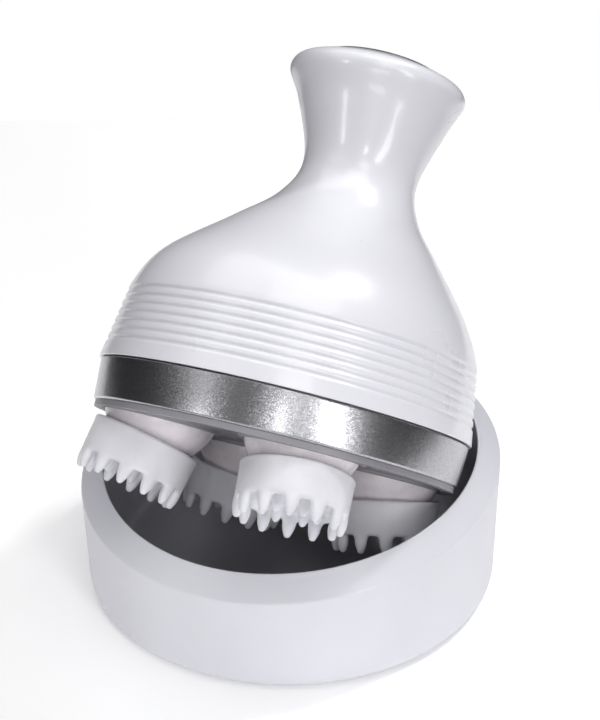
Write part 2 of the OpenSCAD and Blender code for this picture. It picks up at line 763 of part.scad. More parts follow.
module at_coil_leads() {
    rotate(coil_lead_turn) for (s = [-1, 1]) translate([coil_lead_ring_r, s * coil_lead_side, 0]) children();
}

module coil_leads() {
    near = [cos(coil_lead_turn), sin(coil_lead_turn)];
    side = [-near[1], near[0]] * coil_lead_side;
    color("#8a5a2b") in_handset() for (k = [0, 1])
        let (w = (1 - 2 * k) * side, up = riser(k + 2))
        wire([
            concat((receive_coil_r + seat_gap) * near + w, floor_top + coil_t / 2 + 0.1),
            concat(coil_lead_ring_r * near + w, floor_top + coil_t / 2 + 0.1),
            concat(coil_lead_ring_r * near + w, motor_z + 1.1),
            concat((motor_r + 2.4) * near + w, motor_z + 1.1),
            concat((motor_r + 2.4) * near + w, terminal_lead_h),
            concat(up, terminal_lead_h),
            concat(up, board_h)], lead_r);
}

module switch_body() {
    color("#2b2b2e") in_handset() translate([top_shift, 0, board_h + board_t]) difference() {
        translate([-switch_w / 2, -switch_w / 2, 0]) cube([switch_w, switch_w, switch_h]);
        translate([0, 0, switch_h - stem_bite - button_travel - fit_gap])
            cylinder(r = stem_r + fit_gap, h = 3, $fn = 32);
    }
}

// ---- Drive ----

// Angle between an involute's start and its point at a pressure angle
function involute(a) = tan(a) * 180 / PI - a;
function half_tooth(r, teeth, pitch) =
    let (base = pitch * cos(pressure_angle), slack = backlash / 4 / pitch * 180 / PI)
    90 / teeth - slack + involute(pressure_angle) - involute(r > base ? acos(base / r) : 0);

module gear_outline(teeth) {
    pitch = gear_module * teeth / 2;
    tip = pitch + 0.95 * gear_module;
    base = pitch * cos(pressure_angle);
    radii = [pitch - 1.25 * gear_module, max(base, pitch - 1.2 * gear_module),
        (base + pitch) / 2, pitch, (pitch + tip) / 2, tip];
    last = len(radii) - 1;
    polygon([for (k = [0 : teeth - 1], s = [-1, 1], m = [0 : last])
        let (r = radii[s < 0 ? m : last - m], a = k * 360 / teeth + s * half_tooth(r, teeth, pitch))
        r * [cos(a), sin(a)]]);
}

module drive_shaft() {
    color(steel) in_handset() translate([0, 0, gear_z - 0.9])
        cylinder(r = drive_shaft_r, h = cover_z + plate_t + shaft_depth - gear_z + 0.4, $fn = 48);
}

module drive_gear() {
    color("#e8e2d0") in_handset() rotate(head_turn) translate([0, 0, gear_z]) difference() {
        union() {
            linear_extrude(gear_t) difference() {
                gear_outline(drive_teeth);
                for (a = [0 : 60 : 300]) rotate(a)
                    translate([web_hole_ring_r, 0]) circle(r = web_hole_r, $fn = 48);
            }
            translate([0, 0, -0.6]) cylinder(r = gear_hub_r, h = gear_t + 0.9);
        }
        translate([0, 0, -2]) cylinder(r = drive_shaft_r + seat_gap, h = gear_t + 4, $fn = 48);
    }
}

module crank_gear(i) {
    color("#e8e2d0") in_handset() at_head(i) translate([0, 0, gear_z - ball_h]) difference() {
        union() {
            rotate(180 / crank_teeth) linear_extrude(gear_t) gear_outline(crank_teeth);
            translate([0, 0, -2 + bush_flange_t + fit_gap])
                cylinder(r = bush_r, h = gear_t, $fn = 48);
        }
        translate([0, 0, -3]) cylinder(r = crank_shaft_r + seat_gap, h = gear_t + 4, $fn = 48);
    }
}

module crank(i) {
    color(steel) in_handset() {
        at_head(i) {
            cylinder(r = crank_shaft_r, h = cover_z + plate_t - ball_h - 0.1, $fn = 48);
            sphere(r = knuckle_r, $fn = 48);
        }
        in_head(i) translate([0, 0, -pin_end]) cylinder(r = crank_pin_r, h = pin_end, $fn = 48);
    }
}

module pin_clip(i) {
    color(steel) in_handset() in_head(i) translate([0, 0, -hub_boss_end - fit_gap - clip_t])
        tube(hub_boss_r - 1, crank_pin_r + seat_gap, clip_t, $fn = 48);
}

// ---- Heads ----

module hub(i) {
    color("#e6e1e4") in_handset() in_head(i) difference() {
        union() {
            difference() {
                intersection() {
                    sphere(r = ball_r);
                    translate([0, 0, -ball_cut]) cylinder(r = ball_r + 1, h = ball_cut + hub_top);
                }
                difference() {
                    sphere(r = ball_r - hub_wall);
                    translate([0, 0, -ball_r - ball_cut]) cylinder(r = ball_r, h = ball_r);
                }
            }
            translate([0, 0, -ball_cut - web_t]) cylinder(r = neck_r, h = web_t);
            translate([0, 0, -neck_end]) tube(neck_r, neck_r - hub_wall, neck_end - ball_cut);
            translate([0, 0, -hub_boss_end])
                cylinder(r = hub_boss_r, h = hub_boss_end - hub_boss_top, $fn = 48);
        }
        translate([0, 0, -neck_end]) cylinder(r = crank_pin_r + shaft_gap, h = neck_end, $fn = 48);
    }
}

// One claw hanging from z = 0, with a rounded tip
module claw(length) {
    rotate_extrude($fn = 24) polygon(concat(
        [[0, 0], [0, -length]],
        [for (a = [-67.5 : 22.5 : 0])
            [claw_tip_r * cos(a), -length + claw_tip_r * (1 + sin(a))]],
        [[claw_root_r, 0]]));
}

module claw_cup(i) {
    root = cup_floor + cup_floor_t;
    color("#dcdce0") in_handset() in_head(i) {
        rotate_extrude() polygon([
            [0, -cup_floor], [neck_r + seat_gap, -cup_floor], [neck_r + seat_gap, -cup_top],
            [cup_r - 0.6, -cup_top], [cup_r, -cup_top - 0.6], [cup_r, -cup_floor + 2],
            [cup_r - 0.25, -skirt_end], [neck_r + 0.5, -skirt_end],
            [neck_r + 0.2, -root], [0, -root]]);
        for (a = [0 : 360 / claw_count : 359]) rotate(a)
            translate([claw_ring_r, 0, -root - 0.8]) claw(claw_end - root - 0.8);
        for (a = [0 : 360 / inner_claw_count : 359]) rotate(a + 15)
            translate([inner_claw_ring_r, 0, -root + 0.5]) claw(claw_end - root - 0.3);
    }
}

base_shell();
base_liner();
base_cover();
base_pad();
base_screws();
charge_coil();
charge_board();
charge_leads();
power_socket();
housing();
trim_ring();
chassis();
joint_seal();
gearbox_plate();
gearbox_cover();
gearbox_screws();
crank_bushes();
gear_motor();
motor_screws();
inner_frame();
battery();
receive_coil();
circuit_board();
motor_leads();
cell_leads();
coil_leads();
switch_body();
top_panel();
power_button();
drive_shaft();
drive_gear();
crank_gear(0);  // crank_gear_1
crank_gear(1);  // crank_gear_2
crank_gear(2);  // crank_gear_3
crank_gear(3);  // crank_gear_4
crank(0);  // crank_1
crank(1);  // crank_2
crank(2);  // crank_3
crank(3);  // crank_4
pin_clip(0);  // pin_clip_1
pin_clip(1);  // pin_clip_2
pin_clip(2);  // pin_clip_3
pin_clip(3);  // pin_clip_4
hub(0);  // hub_1
hub(1);  // hub_2
hub(2);  // hub_3
hub(3);  // hub_4
claw_cup(0);  // claw_cup_1
claw_cup(1);  // claw_cup_2
claw_cup(2);  // claw_cup_3
claw_cup(3);  // claw_cup_4
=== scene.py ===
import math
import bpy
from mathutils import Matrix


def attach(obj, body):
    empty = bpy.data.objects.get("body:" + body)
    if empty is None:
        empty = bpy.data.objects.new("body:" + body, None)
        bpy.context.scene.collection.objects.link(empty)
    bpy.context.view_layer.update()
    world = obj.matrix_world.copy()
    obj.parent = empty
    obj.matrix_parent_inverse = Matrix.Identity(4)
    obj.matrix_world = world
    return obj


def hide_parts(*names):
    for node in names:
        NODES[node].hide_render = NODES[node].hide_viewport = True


bl_info = {
    "name": "Electric Scalp Massager",
    "version": (1, 0, 0),
    "blender": (4, 5, 0),
    "location": "3D View > Sidebar > Massager",
    "description": "Builds a cordless scalp massager that leans in its charging bowl",
    "category": "Object",
}

import bmesh
import bpy
from bpy.props import FloatProperty, FloatVectorProperty, IntProperty, PointerProperty
from mathutils import Matrix, Vector

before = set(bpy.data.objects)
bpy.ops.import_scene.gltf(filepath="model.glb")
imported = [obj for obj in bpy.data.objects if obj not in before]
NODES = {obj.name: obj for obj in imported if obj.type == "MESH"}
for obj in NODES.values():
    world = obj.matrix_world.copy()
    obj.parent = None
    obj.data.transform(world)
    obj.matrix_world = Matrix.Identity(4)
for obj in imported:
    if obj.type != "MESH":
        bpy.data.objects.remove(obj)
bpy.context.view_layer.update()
MM = 0.001
SAME_POINT = 2e-6
HEADS = (1, 2, 3, 4)

# The handset's place in the bowl: turned back and to the right, then moved.
PLACE_IN_BOWL = Vector((-4, -12.5, 47.8982)) * MM
LEAN_BACK = math.radians(-34.5)
LEAN_RIGHT = math.radians(17.7)
IN_HANDSET = (
    Matrix.Translation(PLACE_IN_BOWL)
    @ Matrix.Rotation(LEAN_RIGHT, 4, "Y")
    @ Matrix.Rotation(LEAN_BACK, 4, "X")
)
HEAD_TURN = math.radians(-86.2)
HEAD_SPACING = math.radians(90)
HEAD_TILT = math.radians(-12)
HEAD_RING = 32.3 * MM
BALL_HEIGHT = 3 * MM


def in_socket(number):
    """The frame of a ball socket, on the underside's plane."""
    return (
        IN_HANDSET
        @ Matrix.Rotation(HEAD_TURN + HEAD_SPACING * (number - 1), 4, "Z")
        @ Matrix.Translation((HEAD_RING, 0, 0))
    )


def in_head(number):
    """The frame of a head: its ball's centre, with -Z along the head's own axis."""
    return (
        in_socket(number)
        @ Matrix.Translation((0, 0, BALL_HEIGHT))
        @ Matrix.Rotation(HEAD_TILT, 4, "Y")
    )


def linear(code):
    """An sRGB hex colour as the linear colour that a shader socket takes."""
    parts = [int(code[i : i + 2], 16) / 255 for i in (1, 3, 5)]
    return tuple(p / 12.92 if p <= 0.04045 else ((p + 0.055) / 1.055) ** 2.4 for p in parts) + (1,)


def per_mm(size):
    """The Scale of a texture whose features are to measure that many millimetres."""
    return 1000 / size


def add_node(tree, kind, settings=(), values=(), links=()):
    """Adds a node with its settings, socket values and links from (node, output)."""
    made = tree.nodes.new(kind)
    for name, value in dict(settings).items():
        setattr(made, name, value)
    for name, value in dict(values).items():
        made.inputs[name].default_value = value
    for name, (source, output) in dict(links).items():
        tree.links.new(source.outputs[output], made.inputs[name])
    return made


def new_material(name, **values):
    """A material with one Principled shader, and the coordinates of the object."""
    material = bpy.data.materials.new(name)
    material.use_nodes = True
    tree = material.node_tree
    tree.nodes.clear()
    shader = add_node(tree, "ShaderNodeBsdfPrincipled", values=values)
    add_node(tree, "ShaderNodeOutputMaterial", links={"Surface": (shader, "BSDF")})
    place = add_node(tree, "ShaderNodeTexCoord")
    return material, tree, shader, place


def mottle(tree, shader, source, light, dark, size, detail=3, spread=(0.3, 0.7)):
    """Colour variation between two close colours, over the coordinates of a node's output."""
    noise = add_node(
        tree,
        "ShaderNodeTexNoise",
        values={"Scale": per_mm(size), "Detail": detail},
        links={"Vector": source},
    )
    ramp = add_node(tree, "ShaderNodeValToRGB", links={"Fac": (noise, "Fac")})
    for stop, position, colour in zip(ramp.color_ramp.elements, spread, (dark, light)):
        stop.position = position
        stop.color = colour
    tree.links.new(ramp.outputs["Color"], shader.inputs["Base Color"])
    return noise


def vary_roughness(tree, shader, place, low, high, size):
    """Roughness that drifts between two values, as handled surfaces do."""
    noise = add_node(
        tree,
        "ShaderNodeTexNoise",
        values={"Scale": per_mm(size), "Detail": 4},
        links={"Vector": (place, "Object")},
    )
    spread = add_node(
        tree,
        "ShaderNodeMapRange",
        values={"From Min": 0.3, "From Max": 0.7, "To Min": low, "To Max": high},
        links={"Value": (noise, "Fac")},
    )
    tree.links.new(spread.outputs["Result"], shader.inputs["Roughness"])


def mould_grain(tree, shader, place, size, strength, depth):
    """The relief that a blasted or spark-eroded mould leaves, in millimetres.

    The real grain is too fine to show, so it is drawn about half a millimetre across.
    """
    noise = add_node(
        tree,
        "ShaderNodeTexNoise",
        values={"Scale": per_mm(size), "Detail": 2},
        links={"Vector": (place, "Object")},
    )
    relief = add_node(
        tree,
        "ShaderNodeBump",
        values={"Strength": strength, "Distance": depth * MM},
        links={"Height": (noise, 0)},
    )
    tree.links.new(relief.outputs["Normal"], shader.inputs["Normal"])


def moulded(name, light, dark, patch, rough, drift, grain=None, detail=3, **values):
    """What moulding leaves: two close colours, drifting roughness and a fine mould grain.

    The colour patches and the drift of the roughness are given by size, the roughness by
    its least and greatest value, and the grain by size, strength and depth.
    """
    material, tree, shader, place = new_material(name, **values)
    mottle(tree, shader, (place, "Object"), light, dark, patch, detail)
    vary_roughness(tree, shader, place, *rough, drift)
    if grain:
        mould_grain(tree, shader, place, *grain)
    return material


# How far red, green and blue light spreads inside the milky plastics, in metres.
IN_WHITE_ABS = {"Subsurface Weight": 0.06, "Subsurface Radius": (0.004, 0.004, 0.005)}
IN_WARM_ABS = {"Subsurface Weight": 0.08, "Subsurface Radius": (0.005, 0.004, 0.004)}
IN_SILICONE = {"Subsurface Weight": 0.35, "Subsurface Radius": (0.003, 0.003, 0.0032)}


def white_abs():
    # Injection-moulded ABS from a polished mould: milky white, with sharp highlights and
    # handling haze that drifts over it.
    coat = {"Coat Weight": 0.35, "Coat Roughness": 0.08}
    return moulded(
        "moulded_white_abs", colours().white, linear("#e4e4ea"), 60, (0.26, 0.34), 30,
        detail=0, IOR=1.54, **coat, **IN_WHITE_ABS,
    )


def bowl_abs_painted_shade():
    # The bowl's ABS comes from a blasted mould: the handset's milky white, painted a shade greyer
    # as painted shade on the bowl, and satin, so that its highlights are wide and soft.
    coat = {"Coat Weight": 0.12, "Coat Roughness": 0.25}
    return moulded(
        "moulded_satin_abs", colours().bowl, linear("#d4d4db"), 60, (0.34, 0.46), 18,
        grain=(0.6, 0.06, 0.03), IOR=1.54, **coat, **IN_WHITE_ABS,
    )


FLAKE_SIZE = 0.24
FLAKE_TILT = 0.1


def flake_lacquer():
    # Sprayed silver lacquer with aluminium flakes: each lies at its own small angle, so the
    # band glitters where light strikes and goes dark beside the highlight. Each flake's colour is
    # also set at random between a darker grey and full silver, as painted glint. The flakes are
    # drawn coarser than real ones, so that they show.
    material, tree, shader, place = new_material(
        "silver_flake_lacquer",
        Metallic=1.0,
        Roughness=0.32,
        **{"Coat Weight": 0.4, "Coat Roughness": 0.12},
    )
    flakes = add_node(
        tree,
        "ShaderNodeTexVoronoi",
        values={"Scale": per_mm(FLAKE_SIZE)},
        links={"Vector": (place, "Object")},
    )
    # Painted glint: a random brightness for each flake, put into its colour.
    painted_glint = add_node(
        tree,
        "ShaderNodeMapRange",
        values={"To Min": 0.56, "To Max": 1.0},
        links={"Value": (flakes, "Color")},
    )
    shade = add_node(
        tree,
        "ShaderNodeMix",
        settings={"data_type": "RGBA"},
        values={"A": linear("#2e2e32"), "B": colours().silver},
        links={"Factor": (painted_glint, "Result")},
    )
    tree.links.new(shade.outputs["Result"], shader.inputs["Base Color"])
    facing = add_node(tree, "ShaderNodeNewGeometry")
    centred = add_node(
        tree,
        "ShaderNodeVectorMath",
        settings={"operation": "SUBTRACT"},
        values={1: (0.5, 0.5, 0.5)},
        links={0: (flakes, "Color")},
    )
    tilted = add_node(
        tree,
        "ShaderNodeVectorMath",
        settings={"operation": "MULTIPLY_ADD"},
        values={1: (FLAKE_TILT, FLAKE_TILT, FLAKE_TILT)},
        links={0: (centred, 0), 2: (facing, "Normal")},
    )
    unit = add_node(
        tree,
        "ShaderNodeVectorMath",
        settings={"operation": "NORMALIZE"},
        links={0: (tilted, 0)},
    )
    tree.links.new(unit.outputs[0], shader.inputs["Normal"])
    return material


def liner_abs_with_painted_light():
    # Dark grey ABS with a fine spark-eroded texture: satin and slightly blue, with a soft
    # sheen where it faces the light. Its colour is painted a far lighter grey, as painted light
    # for the inside of the bowl.
    coat = {"Coat Weight": 0.6, "Coat Roughness": 0.16}
    return moulded(
        "moulded_grey_abs", colours().liner, linear("#9c9ca2"), 30, (0.28, 0.4), 10,
        grain=(0.5, 0.08, 0.04), detail=1, IOR=1.54, **coat,
    )


def panel_abs():
    # Charcoal ABS of the top panel, spark-eroded to a fine satin, with finger haze.
    return moulded(
        "moulded_charcoal_abs", linear("#4f4f54"), linear("#47474c"), 14, (0.34, 0.46), 6,
        grain=(0.4, 0.1, 0.03), IOR=1.54,
    )


def chassis_abs():
    # The handset's underside: mid grey ABS, satin, moulded with a fine even grain.
    return moulded(
        "moulded_mid_grey_abs", linear("#97959b"), linear("#86848a"), 20, (0.35, 0.5), 8,
        grain=(0.4, 0.1, 0.04), IOR=1.54,
    )


def hub_abs():
    # Glossy moulded ABS, a warmer, pinker white than the housing's.
    coat = {"Coat Weight": 0.25, "Coat Roughness": 0.1}
    return moulded(
        "moulded_warm_white_abs", colours().hub, linear("#e8e1e6"), 12, (0.22, 0.34), 6,
        IOR=1.54, **coat, **IN_WARM_ABS,
    )


def silicone():
    # Compression-moulded silicone rubber: soft, matte and slightly see-through, so that light
    # spreads inside it and thin tips glow. Its skin holds fine dust and a faint mould grain.
    sheen = {"Sheen Weight": 0.15, "Sheen Roughness": 0.4}
    return moulded(
        "moulded_silicone", colours().silicone, linear("#dedee3"), 9, (0.42, 0.56), 5,
        grain=(0.35, 0.1, 0.03), IOR=1.41, **sheen, **IN_SILICONE,
    )


def black_rubber():
    # Moulded nitrile rubber: near black and matte, with the faint texture of its mould.
    return moulded(
        "moulded_black_rubber", linear("#2c2c2f"), linear("#1e1e21"), 10, (0.7, 0.85), 6,
        grain=(0.5, 0.2, 0.05), IOR=1.52,
    )


def moulded_plastic(name, light, dark, rough, grain_size=0.5):
    # Engineering plastic as moulded: even colour, satin, with a fine grain.
    return moulded(
        name, linear(light), linear(dark), 15, (rough * 0.9, rough * 1.15), 7,
        grain=(grain_size, 0.1, 0.03), IOR=1.5,
    )


def brushed_metal(name, bright, dull, rough, spacing):
    # Steel or copper alloy with the lines that drawing, turning or winding leave: long and
    # thin, because the noise is squeezed along Z. They are drawn a few tenths of a
    # millimetre apart, coarser than real ones, so that they show.
    squeeze = 12
    material, tree, shader, place = new_material(name, Metallic=1.0)
    stretch = add_node(
        tree,
        "ShaderNodeMapping",
        values={"Scale": (1, 1, squeeze)},
        links={"Vector": (place, "Object")},
    )
    size = spacing * squeeze
    lines = mottle(
        tree, shader, (stretch, 0), linear(bright), linear(dull), size, 5, spread=(0.35, 0.65)
    )
    vary_roughness(tree, shader, place, rough * 0.85, rough * 1.2, 4)
    relief = add_node(
        tree,
        "ShaderNodeBump",
        values={"Strength": 0.1, "Distance": 0.02 * MM},
        links={"Height": (lines, 0)},
    )
    tree.links.new(relief.outputs["Normal"], shader.inputs["Normal"])
    return material


def circuit_mask():
    # Green solder mask, screened over copper: the traces show as slightly lighter lines,
    # drawn wider and further apart than real ones, so that they show.
    material, tree, shader, place = new_material("circuit_board_mask", IOR=1.5, Roughness=0.35)
    traces = add_node(
        tree,
        "ShaderNodeTexBrick",
        values={
            "Scale": per_mm(6),
            "Mortar Size": 0.06,
            "Color1": linear("#1c6a3c"),
            "Color2": linear("#1a6238"),
            "Mortar": linear("#2d8a52"),
        },
        links={"Vector": (place, "Object")},
    )
    tree.links.new(traces.outputs["Color"], shader.inputs["Base Color"])
    return material


def studio_white():
    # Matte paper backdrop, bright enough that only soft shadows show on it.
    glow = {"Emission Color": (1, 1, 1, 1), "Emission Strength": 0.15}
    material, tree, shader, place = new_material(
        "white_paper_floor", IOR=1.45, Roughness=0.9, **glow
    )
    mottle(tree, shader, (place, "Object"), linear("#fbfbfb"), linear("#f7f7f8"), 400)
    return material


def settings():
    return bpy.context.scene.massager_sizes


def colours():
    return bpy.context.scene.massager_colours


def add_object(name, data):
    """An object in the scene with that mesh, light or camera."""
    made = bpy.data.objects.new(name, data)
    bpy.context.scene.collection.objects.link(made)
    return made


def as_mesh(bm, name):
    """The bmesh as a mesh. The bmesh is freed."""
    mesh = bpy.data.meshes.new(name)
    bm.to_mesh(mesh)
    bm.free()
    return mesh


def applied(made):
    """The object's mesh with its modifiers applied."""
    bpy.context.view_layer.update()
    evaluated = made.evaluated_get(bpy.context.evaluated_depsgraph_get())
    return bpy.data.meshes.new_from_object(evaluated)


def finish_mesh(bm, name, material, body, place=None, smooth=50):
    """Merges, turns faces outward, puts the mesh in place and makes its object ride on a body."""
    bmesh.ops.remove_doubles(bm, verts=bm.verts, dist=SAME_POINT)
    bmesh.ops.recalc_face_normals(bm, faces=bm.faces)
    if place is not None:
        bmesh.ops.transform(bm, matrix=place, verts=bm.verts)
    mesh = as_mesh(bm, name)
    for face in mesh.polygons:
        face.use_smooth = True
    mesh.set_sharp_from_angle(angle=math.radians(smooth))
    made = add_object(name, mesh)
    made.data.materials.append(material)
    if body:
        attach(made, body)
    return made


def spun(profile, steps, closed=False):
    """A bmesh of revolution about Z from (radius, height) points in millimetres."""
    bm = bmesh.new()
    line = [bm.verts.new((radius * MM, 0, height * MM)) for radius, height in profile]
    pairs = list(zip(line, line[1:])) + ([(line[-1], line[0])] if closed else [])
    edges = [bm.edges.new(pair) for pair in pairs]
    bmesh.ops.spin(
        bm,
        geom=line + edges,
        cent=(0, 0, 0),
        axis=(0, 0, 1),
        angle=math.tau,
        steps=steps,
        use_merge=True,
    )
    bmesh.ops.remove_doubles(bm, verts=bm.verts, dist=SAME_POINT)
    return bm


def arc(centre, radius, start, end, count):
    """Points on an arc, in degrees, as (radius, height)."""
    angles = [math.radians(start + (end - start) * i / count) for i in range(count + 1)]
    return [(centre[0] + radius * math.cos(a), centre[1] + radius * math.sin(a)) for a in angles]


def curve_point(a, b, c, d, t):
    """A point on the smooth curve through four stations, between the second and third."""
    return tuple(
        0.5
        * (
            2 * q
            + (r - p) * t
            + (2 * p - 5 * q + 4 * r - s) * t**2
            + (3 * q - p - 3 * r + s) * t**3
        )
        for p, q, r, s in zip(a, b, c, d)
    )


def smooth_line(stations, count):
    """The curve through all stations but the first and the last."""
    points = []
    for i in range(len(stations) - 3):
        points += [curve_point(*stations[i : i + 4], k / count) for k in range(count)]
    return points + [stations[-2]]


def give(material, *names):
    """Puts a material on CAD nodes whose shape is right."""
    for name in names:
        NODES[name].data.materials.clear()
        NODES[name].data.materials.append(material)
        for face in NODES[name].data.polygons:
            face.material_index = 0


LENGTH = {"unit": "LENGTH", "precision": 5}
COLOUR = {"subtype": "COLOR", "size": 4, "min": 0, "max": 1}


class MassagerSizes(bpy.types.PropertyGroup):
    rib_depth: FloatProperty(
        name="Rib depth", description="Depth of the flutes round the skirt",
        default=0.42 * MM, min=0, max=0.8 * MM, **LENGTH,
    )
    rib_count: IntProperty(
        name="Ribs", description="Flutes round the skirt", default=7, min=0, max=7
    )
    lip_round: FloatProperty(
        name="Lip rounding", description="Radius of the rounding round the top",
        default=3.4 * MM, min=2.5 * MM, max=4 * MM, **LENGTH,
    )
    claw_tip: FloatProperty(
        name="Claw tip", description="Radius of a claw's rounded tip",
        default=1.1 * MM, min=0.7 * MM, max=1.3 * MM, **LENGTH,
    )
    claws: IntProperty(name="Claws", description="Claws round a cup", default=12, min=8, max=14)
    inner_claws: IntProperty(
        name="Inner claws", description="Claws inside a cup", default=6, min=3, max=7
    )
    steps: IntProperty(
        name="Steps", description="Facets round a turned shape", default=144, min=48, max=256
    )


class MassagerColours(bpy.types.PropertyGroup):
    white: FloatVectorProperty(
        name="White", description="Housing", default=linear("#e8e8ee"), **COLOUR
    )
    # The bowl's white is painted greyer than the housing's, as painted shade.
    bowl: FloatVectorProperty(
        name="Bowl", description="Outside of the bowl", default=linear("#dedee5"), **COLOUR
    )
    silver: FloatVectorProperty(
        name="Silver", description="Flakes of the band", default=linear("#c9c9cd"), **COLOUR
    )
    # The liner's colour is painted light grey, as painted light inside the bowl; the plastic is
    # dark grey.
    liner: FloatVectorProperty(
        name="Liner", description="Inside of the bowl", default=linear("#a6a6ac"), **COLOUR
    )
    hub: FloatVectorProperty(
        name="Hubs", description="Domes that carry the cups", default=linear("#f3edf1"), **COLOUR
    )
    silicone: FloatVectorProperty(
        name="Silicone", description="Cups with claws", default=linear("#e9e9ee"), **COLOUR
    )


# From here on, shapes are in millimetres and angles of arcs in degrees.

# The skirt is a cone, given by the radius and height of its foot and its top.
SKIRT_FOOT = (52.2, 11.5)
SKIRT_TOP = (49.0, 32.2)
RIB_START = 16.7
RIB_PITCH = 2.39
RIB_HALF_WIDTH = 0.85
HOUSING_WALL = 2.2
# Stations up the handset: radius, height and sideways shift.
SHELL_STATIONS = [
    (50.9, 20.2, 0),
    (49.0, 32.2, 0),
    (42.9, 44.2, 0),
    (29.5, 58.0, 2.6),
    (20.0, 68.0, 4.21),
    (16.2, 79.0, 4.9),
    (21.0, 95.0, 4.41),
    (24.73, 102.95, 3.72),
    (27.2, 110.56, 3.72),
]
TOP_SHIFT = 3.72
# The lip's rounding: its centre, and the arc from the neck to the domed top.
LIP = (21.5, 104.0)
LIP_START = -18
LIP_END = 68
DOME_RADIUS = 60.9
DOME_TOP = 111.6


def dome_height(radius):
    return DOME_TOP - DOME_RADIUS + math.sqrt(DOME_RADIUS**2 - radius**2)


def shift_at(height, levels):
    """The sideways shift at a height, from (height, shift) levels: none below the lowest."""
    for (low, start), (high, end) in zip(levels, levels[1:]):
        if low <= height < high:
            return start + (end - start) * (height - low) / (high - low)
    return levels[-1][1] if height >= levels[-1][0] else 0


class MASSAGER_OT_housing(bpy.types.Operator):
    """Bell-shaped white shell with shallow flutes, a shifted neck and a rounded lip"""

    bl_idname = "massager.housing"
    bl_label = "Housing"

    def execute(self, context):
        depth = settings().rib_depth / MM
        taper = (SKIRT_TOP[0] - SKIRT_FOOT[0]) / (SKIRT_TOP[1] - SKIRT_FOOT[1])
        skirt = [(51.75, 11.75), (51.98, 11.68), (52.12, 11.85)]
        height = 12.4
        while height < 32.0:
            radius = SKIRT_FOOT[0] + (height - SKIRT_FOOT[1]) * taper
            for k in range(settings().rib_count):
                across = (height - (RIB_START + RIB_PITCH * k)) / RIB_HALF_WIDTH
                if abs(across) < 1:
                    radius -= depth * (0.5 + 0.5 * math.cos(math.pi * across))
            skirt.append((radius, height))
            height += 0.24
        body = smooth_line(SHELL_STATIONS, 9)
        top = arc(LIP, settings().lip_round / MM, LIP_START, LIP_END, 12)[1:]
        top += [(r, dome_height(r)) for r in (20.6, 18.8)]
        # The ledge that the top panel lies on, and the inner side of the lip.
        ledge = dome_height(17.8)
        top += [(17.9, ledge - 0.05), (17.62, ledge - 0.3), (17.6, 107.7), (15.6, 107.7)]
        top += [(15.6, 106.3), (20.6, 104.8)]
        outline = skirt + [(r, h) for r, h, s in body] + top
        outline += [(r - HOUSING_WALL, h) for r, h, s in reversed(body) if 33 < h < 102]
        outline += [(46.6, 32), (49.6, 11.75)]
        bm = spun(outline, settings().steps, closed=True)
        levels = [(SKIRT_TOP[1], 0)] + [(h, s) for r, h, s in body if h > SKIRT_TOP[1]]
        for vert in bm.verts:
            vert.co.x += shift_at(vert.co.z / MM, levels) * MM
        made = finish_mesh(
            bm, "housing_shell", white_abs(), "handset", IN_HANDSET, 40
        )
        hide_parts("housing")
        return {"FINISHED"}


class MASSAGER_OT_trim_ring(bpy.types.Operator):
    """Silver band with softened edges between the housing and the underside"""

    bl_idname = "massager.trim_ring"
    bl_label = "Silver band"

    def execute(self, context):
        profile = [(49.45, 0.05), (49.9, 0.02)]
        profile += arc((50.0, 0.85), 0.83, -90, -4, 7)
        profile += [(51.5, 10.9)] + arc((51.2, 11.0), 0.3, 0, 80, 4) + [(49.45, 11.35)]
        bm = spun(profile, settings().steps, closed=True)
        made = finish_mesh(
            bm, "silver_band", flake_lacquer(), "handset", IN_HANDSET, 40
        )
        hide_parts("trim_ring")
        return {"FINISHED"}


class MASSAGER_OT_underside(bpy.types.Operator):
    """Chassis with a moulded collar round each ball socket"""

    bl_idname = "massager.underside"
    bl_label = "Underside"

    def execute(self, context):
        grey = chassis_abs()
        give(grey, "chassis")
        profile = [(15.75, -0.55), (15.7, -1.1)] + arc((16.3, -1.15), 0.6, 180, 360, 8)
        profile += [(17.0, -0.9), (17.6, -0.55)]
        for number in HEADS:
            name, place = f"socket_collar_{number}", in_socket(number)
            collar = spun(profile, 96, closed=True)
            finish_mesh(collar, name, grey, "handset", place, 40)
        return {"FINISHED"}


BALL_RADIUS = 15.8


class MASSAGER_OT_hubs(bpy.types.Operator):
    """Domed hubs that stand out of the ball sockets"""

    bl_idname = "massager.hubs"
    bl_label = "Hubs"

    def execute(self, context):
        white = hub_abs()
        profile = [(14.0, 1.0), (15.5, 1.0)] + arc((0, 0), BALL_RADIUS, 2.5, -36.4, 22)
        # The stub that the cup grips, then the bore of the crank's pin.
        profile += [(12.55, -9.62), (12.3, -9.75), (12.2, -10.0), (12.2, -15.9)]
        profile += [(10.4, -15.9), (10.4, -11.4), (4.6, -11.4), (4.6, -12.3)]
        profile += [(2.1, -12.3), (2.1, -4.1), (4.5, -4.1), (4.6, -9.3)]
        profile += arc((0, 0), 13.9, -41.8, 2, 12)
        for number in HEADS:
            name, body, place = f"hub_dome_{number}", f"head_{number}", in_head(number)
            bm = spun(profile, 96, closed=True)
            made = finish_mesh(bm, name, white, body, place, 35)
            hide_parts(f"hub_{number}")
        return {"FINISHED"}


CLAW_RING = 13.35
INNER_CLAW_RING = 7
INNER_CLAW_TURN = math.radians(15)
CLAW_END = 24.8
# An inner claw ends this much before an outer one, and is a little thinner.
INNER_CLAW_LESS = 2.0
INNER_CLAW_THIN = 0.95
SKIN_VOXEL = 0.36


